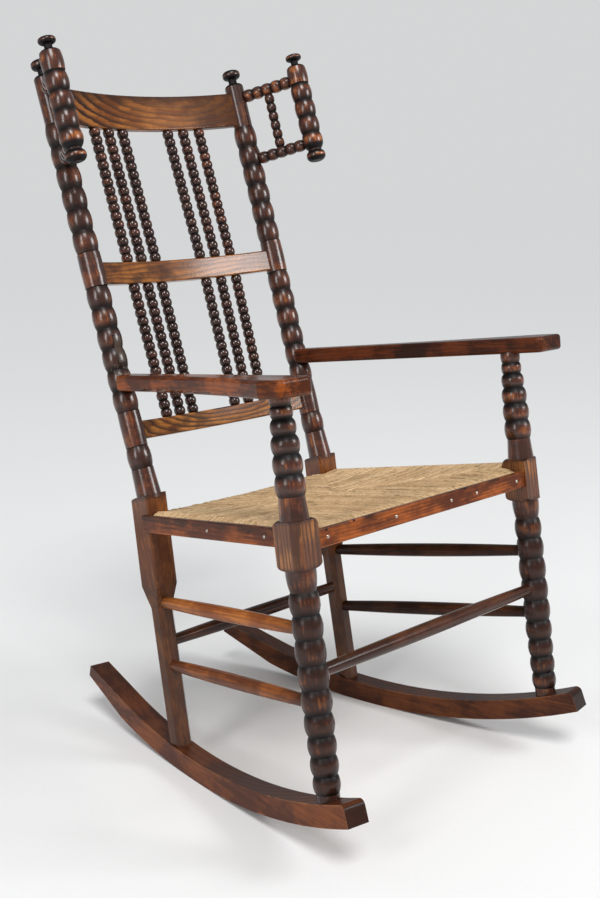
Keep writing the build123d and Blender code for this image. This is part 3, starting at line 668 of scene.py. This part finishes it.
# %% Stretchers and rungs
CHESTNUT = palette((0.045, 0.014, 0.006), (0.24, 0.064, 0.014), (0.44, 0.145, 0.030), (0.45, 0.24, 0.11))
GARNET = palette((0.030, 0.010, 0.005), (0.125, 0.034, 0.010), (0.29, 0.088, 0.020), (0.45, 0.24, 0.11))
SOOT = palette((0.010, 0.005, 0.004), (0.028, 0.0115, 0.007), (0.070, 0.024, 0.011), (0.30, 0.17, 0.09))
COCOA = palette((0.012, 0.0055, 0.0045), (0.036, 0.0115, 0.0065), (0.082, 0.027, 0.0115), (0.26, 0.14, 0.08))
BARE = palette((0.030, 0.018, 0.009), (0.065, 0.040, 0.021), (0.10, 0.065, 0.035), (0.16, 0.10, 0.055))
ROD_PITH = (0, 0.03, 0.04)


def rod_ends(finish, space):
    """Hands never reach the stretchers' ends, and the polish stays dark there."""
    return finish.step(space[0].size(), 0.13, 0.19) * 0.6


for row, level, left_wood in (("upper", -0.153, CHESTNUT), ("lower", -0.256, GARNET)):
    for side, sign, wood in (("left", -1, left_wood), ("right", 1, SOOT)):
        rod_axes = (on_seat(sign * 0.232, 0.195, level), (sign * -0.161, SEAT_BACK.y, SEAT_BACK.z), SEAT_UP)
        rod = board_finish(
            f"{row} {side} stretcher", rod_axes, wood, pith=ROD_PITH, spacing=0.0050,
            oval=0.05, wobble=0.01, lines=0.4, wear=0.3, gloss=0.25, shadow=rod_ends,
        )
        dress(rod, [f"{row}_side_stretcher_{side}"])
cross_rods = board_finish(
    "cross stretchers", ((0, -0.25, 0.24), (1, 0, 0)), COCOA, pith=ROD_PITH, spacing=0.0045,
    oval=0.05, wobble=0.01, lines=0.5, wear=0.6, gloss=0.24, coat=0.25,
)
bare_wood = board_finish(
    "bare rungs", ((0, 0, 0.30), (0.2, 1, 0)), BARE, pith=ROD_PITH, spacing=0.0040,
    oval=0, wobble=0.01, lines=0.4, wear=0.1, gloss=0.6,
)
dress(cross_rods, ["front_stretcher", "back_stretcher"])
dress(bare_wood, ["seat_rung_front", "seat_rung_back", "seat_rung_side_left", "seat_rung_side_right"])

# %% [markdown]
# ## Nails
# The heads of the strips' nails are bare metal. An even metal would look new, so a fine noise
# of tarnish darkens it here and there and makes it rougher.

# %% Nails
nail = Finish("nail heads, bright")
tarnish = nail.noise(nail.place(), 400, 2)
nail.shade(Base_Color=nail.blend(tarnish, colour(0.62, 0.58, 0.52), colour(0.30, 0.26, 0.22)), Metallic=1.0)
nail.shade(Roughness=0.2 + tarnish * 0.25)
dress(nail, ["strip_nails"])

# %% [markdown]
# ## The rush seat
# Rushes are twisted into one long cord and wound from rail to rail. Each turn goes over a
# rung, down through the middle and round the next rung, so the top shows four fans of cord
# that meet on mitred lines. A slab with a rush pattern would show a straight edge where the
# real seat is ribbed, so every visible run of cord is its own strand here: a path with a round
# bevel, from its mitre over the top, round its rung and back below.

# %% Where the four rungs and the mitres lie, in the seat's own plane
STRAND = 0.0023
WRAP = 0.0135
FRONT_Y, FRONT_LEVEL = 0.005, -0.0315
BACK_Y, BACK_LEVEL = 0.391, -0.0315
SIDE_LEVEL = -0.021
FRONT_CORNER = (0.2415, 0.022)
BACK_CORNER = (0.1785, 0.366)
APEX = (0.030, 0.205)


def side_x(y):
    """How far out a side rung's axis lies, y behind the front posts."""
    return 0.261 - 0.158 * y


def mitre_y(x, corner):
    """Where a front or back strand at x meets the mitre from its corner."""
    share = min(1.0, max(0.0, (corner[0] - abs(x)) / (corner[0] - APEX[0])))
    return corner[1] + (APEX[1] - corner[1]) * share


def mitre_x(y):
    """Where a side strand at y meets its mitre."""
    corner = FRONT_CORNER if y < APEX[1] else BACK_CORNER
    share = min(1.0, max(0.0, (y - corner[1]) / (APEX[1] - corner[1])))
    return corner[0] + (APEX[0] - corner[0]) * share


# %% How the seat sags between its rungs
SAG_ABOVE, SAG_BELOW = -0.0225, -0.036
SAG_PULL = 95.0
BACK_LIFT, BACK_PULL = 0.004, 1.6
RUNG_HOLD = 0.012  # added to a distance, so that the pull of a rung stays finite on it


def surface(x, y, above):
    """Level of the strands' middle line: held up at the rungs, slack towards the centre."""
    sides = SIDE_LEVEL + above * WRAP
    ends = FRONT_LEVEL + above * WRAP
    pulls = [
        (side_x(y) - x, sides, 1.0),
        (side_x(y) + x, sides, 1.0),
        (y - FRONT_Y, ends, 1.0),
        (BACK_Y - y, ends + (BACK_LIFT if above > 0 else 0), BACK_PULL),
    ]
    total = SAG_PULL
    level = (SAG_ABOVE if above > 0 else SAG_BELOW) * total
    for distance, height, strength in pulls:
        weight = strength / (max(distance, 0.0) + RUNG_HOLD) ** 2
        total += weight
        level += weight * height
    return level / total


print("strand pitch", STRAND * 2, "rush centre level", round(surface(0, 0.2, 1), 4))

# %% [markdown]
# Cord pulled hard round a rung grows thin there, and dark gaps open along the seat's edge.
# A strand over the front rung runs along Y, one over a side rung runs along X, so one function
# takes a run's two ends, works out the unit step between them and writes the same U-shaped
# path for all four fans. At the mitre each strand is tucked a little way under the next fan.

# %% One path for each strand
random.seed(7)
UNDER = 0.0016
TOP_RUN = (0.03, 0.2, 0.45, 0.7, 0.9)
ROUND_THE_RUNG = (90, 50, 10, -30, -65, -90)
RUN_BELOW = (0.75, 0.4, 0.0)


def strand_path(inner, rung, level):
    """Points of one strand: top run from the mitre, half a turn round its rung, run below."""
    (ix, iy), (rx, ry) = inner, rung
    lift = random.uniform(-0.0006, 0.0006)
    points = []
    length = math.hypot(rx - ix, ry - iy)
    step = ((rx - ix) / length, (ry - iy) / length)
    tuck = random.uniform(0.0015, 0.0040)
    points.append((ix - step[0] * tuck, iy - step[1] * tuck, surface(ix, iy, 1) - UNDER))
    for share in TOP_RUN:
        x, y = ix + (rx - ix) * share, iy + (ry - iy) * share
        points.append((x, y, surface(x, y, 1) + lift + random.uniform(-0.0003, 0.0003)))
    for degrees in ROUND_THE_RUNG:
        out = WRAP * math.cos(math.radians(degrees))
        up = WRAP * math.sin(math.radians(degrees))
        points.append((rx + step[0] * out, ry + step[1] * out, level + up))
    for share in RUN_BELOW:
        x, y = ix + (rx - ix) * share, iy + (ry - iy) * share
        points.append((x, y, surface(x, y, -1) - lift))
    return [on_seat(x, y, z) for x, y, z in points]


def runs_between(low, high):
    """Evenly spaced strand places from low to high, each a little off its mark."""
    count = max(1, round((high - low) / (STRAND * 2)))
    pitch = [low + (high - low) * (i + 0.5) / count for i in range(count)]
    return [mark + random.uniform(-0.00035, 0.00035) for mark in pitch]


# %% The four fans
PAST_MITRE = 0.0005
FRONT_HALF, BACK_HALF = 0.2395, 0.1765
SIDES_FROM, SIDES_TO = 0.024, 0.363

fore_and_aft = []
for x in runs_between(-FRONT_HALF, FRONT_HALF):
    fore_and_aft.append(strand_path((x, mitre_y(x, FRONT_CORNER) - PAST_MITRE), (x, FRONT_Y), FRONT_LEVEL))
for x in runs_between(-BACK_HALF, BACK_HALF):
    fore_and_aft.append(strand_path((x, mitre_y(x, BACK_CORNER) + PAST_MITRE), (x, BACK_Y), BACK_LEVEL))
side_to_side = []
for y in runs_between(SIDES_FROM, SIDES_TO):
    for sign in (-1, 1):
        inner = (sign * (mitre_x(y) + PAST_MITRE), y)
        side_to_side.append(strand_path(inner, (sign * side_x(y), y), SIDE_LEVEL))
print("strands", len(fore_and_aft), "fore and aft,", len(side_to_side), "side to side")

# %% [markdown]
# A curve with a bevel turns a path into round cord and keeps it easy to change. It becomes a
# mesh at the end, with few faces round it, because there are hundreds of strands.


# %% Strands become round cord
def cord_mesh(name, paths):
    """A mesh of round strands that follow the paths, a little thicker here and thinner there."""
    curve = bpy.data.curves.new(name, "CURVE")
    curve.dimensions = "3D"
    curve.bevel_depth = STRAND * 0.96
    curve.use_fill_caps = True
    curve.bevel_resolution = 1
    curve.resolution_u = 1
    # A path's first points are its tucked end and its top run. The next four are pulled thin.
    first_on_rung = 1 + len(TOP_RUN)
    pulled_thin = range(first_on_rung, first_on_rung + 4)
    for path in paths:
        spline = curve.splines.new("POLY")
        spline.points.add(len(path) - 1)
        for number, (point, place) in enumerate(zip(spline.points, path)):
            point.co = (*place, 1)
            point.radius = random.uniform(0.9, 1.12) * (0.84 if number in pulled_thin else 1.0)
    made = bpy.data.objects.new(name, curve)
    scene.collection.objects.link(made)
    bpy.ops.object.select_all(action="DESELECT")
    made.select_set(True)
    bpy.context.view_layer.objects.active = made
    bpy.ops.object.convert(target="MESH")
    bpy.ops.object.shade_smooth()
    return made


long_strands = cord_mesh("rush_fore_and_aft", fore_and_aft)
cross_strands = cord_mesh("rush_side_to_side", side_to_side)

# %% [markdown]
# Between the upper and lower runs a real seat is packed with broken rush. A closed body just
# under the strands stands for it and keeps daylight out of the gaps between strands, and its
# dark colour is painted shade. It starts as a grid, is laid under the strands and narrowed
# between the posts, and is pulled down into a slab.

# %% The packing between the runs
PACKING_FRONT, PACKING_DEPTH, PACKING_THICKNESS = 0.004, 0.384, 0.018
BETWEEN_FRONT_POSTS, BETWEEN_BACK_POSTS = 0.236, 0.175
FRONT_POSTS_TO, BACK_POSTS_FROM = 0.03, 0.358
PAST_RUNG = 0.003
bpy.ops.object.select_all(action="DESELECT")
bpy.ops.mesh.primitive_grid_add(x_subdivisions=28, y_subdivisions=28, size=1)
packing = bpy.context.object
packing.name = "rush_packing"
for vertex in packing.data.vertices:
    across, back = vertex.co.x * 2, vertex.co.y + 0.5
    y = PACKING_FRONT + back * PACKING_DEPTH
    limit = side_x(y) + PAST_RUNG
    if y < FRONT_POSTS_TO:
        limit = min(limit, BETWEEN_FRONT_POSTS)
    elif y > BACK_POSTS_FROM:
        limit = min(limit, BETWEEN_BACK_POSTS)
    x = across * limit
    vertex.co = on_seat(x, y, surface(x, y, 1) - UNDER)
bpy.ops.object.mode_set(mode="EDIT")
bpy.ops.mesh.select_all(action="SELECT")
bpy.ops.mesh.extrude_region_move(TRANSFORM_OT_translate={"value": SEAT_UP * -PACKING_THICKNESS})
bpy.ops.mesh.select_all(action="SELECT")
bpy.ops.mesh.normals_make_consistent(inside=False)
bpy.ops.object.mode_set(mode="OBJECT")
print("packing faces", len(packing.data.polygons))

# %% [markdown]
# Dry rush is straw coloured, with green and grey leaves among the yellow ones, and dark flecks
# where a cord was joined. Each strand gets its own shade from its number, counted across the
# seat, and the fibres are noise drawn out along the strand.


# %% The finish of the rush
def rush_finish(name, along_x):
    """Straw cord: along_x says which way the strands run."""
    finish = Finish(name)
    place = finish.place(mirrored=False)
    x, y, z = (finish.part(place, axis) for axis in range(3))
    run, count = (x, y) if along_x else (y, x)
    number = (count / (STRAND * 2)).maths("FLOOR", count / (STRAND * 2))
    own = finish.node("ShaderNodeTexWhiteNoise", {"noise_dimensions": "1D"}, {"W": number})
    patch = finish.noise(finish.join(run * 38, number * 3.7, z * 30), 1.0, 3, 0.6)
    fibre = finish.noise(finish.join(run * 90 + count * 160, count * 1400, z * 1400), 1.0, 2, 0.6)
    broad = finish.noise(place, 9, 3, 0.6)
    straw = finish.blend(own, colour(0.56, 0.35, 0.170), colour(0.80, 0.565, 0.320))
    green = finish.blend(finish.step(broad, 0.48, 0.72) * 0.4, straw, colour(0.44, 0.32, 0.15))
    dusty = finish.blend(finish.step(patch, 0.52, 0.68) * 0.72, green, colour(0.23, 0.135, 0.058))
    fibres = finish.blend(finish.step(fibre, 0.46, 0.68) * 0.6, dusty, colour(0.19, 0.115, 0.05))
    finish.shade(Base_Color=fibres, Roughness=0.55 + fibre * 0.25)
    finish.shade(Normal=finish.bump(fibre, 0.5, 0.0012))
    return finish


rush_long = rush_finish("rush, fore and aft", False)
rush_cross = rush_finish("rush, side to side", True)
packing_finish = Finish("rush packing, shaded")
chaff = packing_finish.noise(packing_finish.place(), 240, 3)
# The packing's dark colour is painted shade, the shade deep in the gaps between strands.
shaded_husk = packing_finish.blend(chaff, colour(0.050, 0.032, 0.015), colour(0.13, 0.088, 0.045))
packing_finish.shade(Base_Color=shaded_husk, Roughness=0.9)
for piece, finish in ((long_strands, rush_long), (cross_strands, rush_cross), (packing, packing_finish)):
    piece.data.materials.clear()
    piece.data.materials.append(finish.material)
    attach(piece, "root")
    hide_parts("rush_seat")
    print(piece.name, len(piece.data.polygons), "faces")

# %% [markdown]
# ## Floor and light
# A pale floor that fades into an equally pale surround. A wide soft sun lights everything
# evenly, and two lamps give the polish its highlights: a tall one on the left, as from a
# window, and one at the front right, which shines back from the right ends of the bowed rails.

# %% Floor
bpy.ops.object.select_all(action="DESELECT")
bpy.ops.mesh.primitive_circle_add(vertices=96, radius=30, fill_type="NGON", location=(0, 0, 0))
floor = bpy.context.object
floor.name = "floor"
floor_finish = Finish("floor, pale")
grit = floor_finish.noise(floor_finish.place(mirrored=False), 160, 3, 0.6)
chalk = floor_finish.blend(grit, colour(0.80, 0.80, 0.80), colour(0.84, 0.84, 0.835))
floor_finish.shade(Base_Color=chalk, Roughness=0.9, Specular_IOR_Level=0.2)
floor.data.materials.append(floor_finish.material)
print("floor across", round(floor.dimensions.x, 1))


# %% Lamps
def lamp(name, kind, place, power, size=None, angle=0.0):
    """A soft lamp that looks at the middle of the chair."""
    data = bpy.data.lights.new(name, kind)
    data.energy = power
    if kind == "AREA":
        data.shape = "RECTANGLE"
        data.size, data.size_y = size
    else:
        data.angle = angle
    made = bpy.data.objects.new(name, data)
    scene.collection.objects.link(made)
    made.location = place
    made.rotation_euler = (Vector((0, 0, 0.6)) - Vector(place)).to_track_quat("-Z", "Y").to_euler()
    print("lamp", name, "power", power)


lamp("sky", "SUN", (-1.6, -2.2, 4.2), 1.8, angle=math.radians(22))
lamp("window", "AREA", (-3.4, -0.6, 2.0), 42, size=(0.8, 2.0))
lamp("room", "AREA", (1.62, -2.42, 2.08), 46, size=(1.15, 1.0))

# %% [markdown]
# The surround lights the chair with a grey that keeps the dark wood dark, and shows to the
# camera as the same pale tone as the far floor.

# %% Surround
LIGHT_TONE = (0.36, 0.37, 0.38, 1)
SEEN_TONE = (0.66, 0.665, 0.67, 1)
world = bpy.data.worlds.new("surround") if scene.world is None else scene.world
scene.world = world
world.use_nodes = True
background = world.node_tree.nodes["Background"]
seen = world.node_tree.nodes.new("ShaderNodeLightPath")
tone = world.node_tree.nodes.new("ShaderNodeMix")
tone.data_type = "RGBA"
tone.inputs[6].default_value = LIGHT_TONE
tone.inputs[7].default_value = SEEN_TONE
world.node_tree.links.new(seen.outputs["Is Camera Ray"], tone.inputs[0])
world.node_tree.links.new(tone.outputs[2], background.inputs["Color"])
background.inputs["Strength"].default_value = 1.0
print("surround lights with", LIGHT_TONE[:3], "and is seen as", SEEN_TONE[:3])
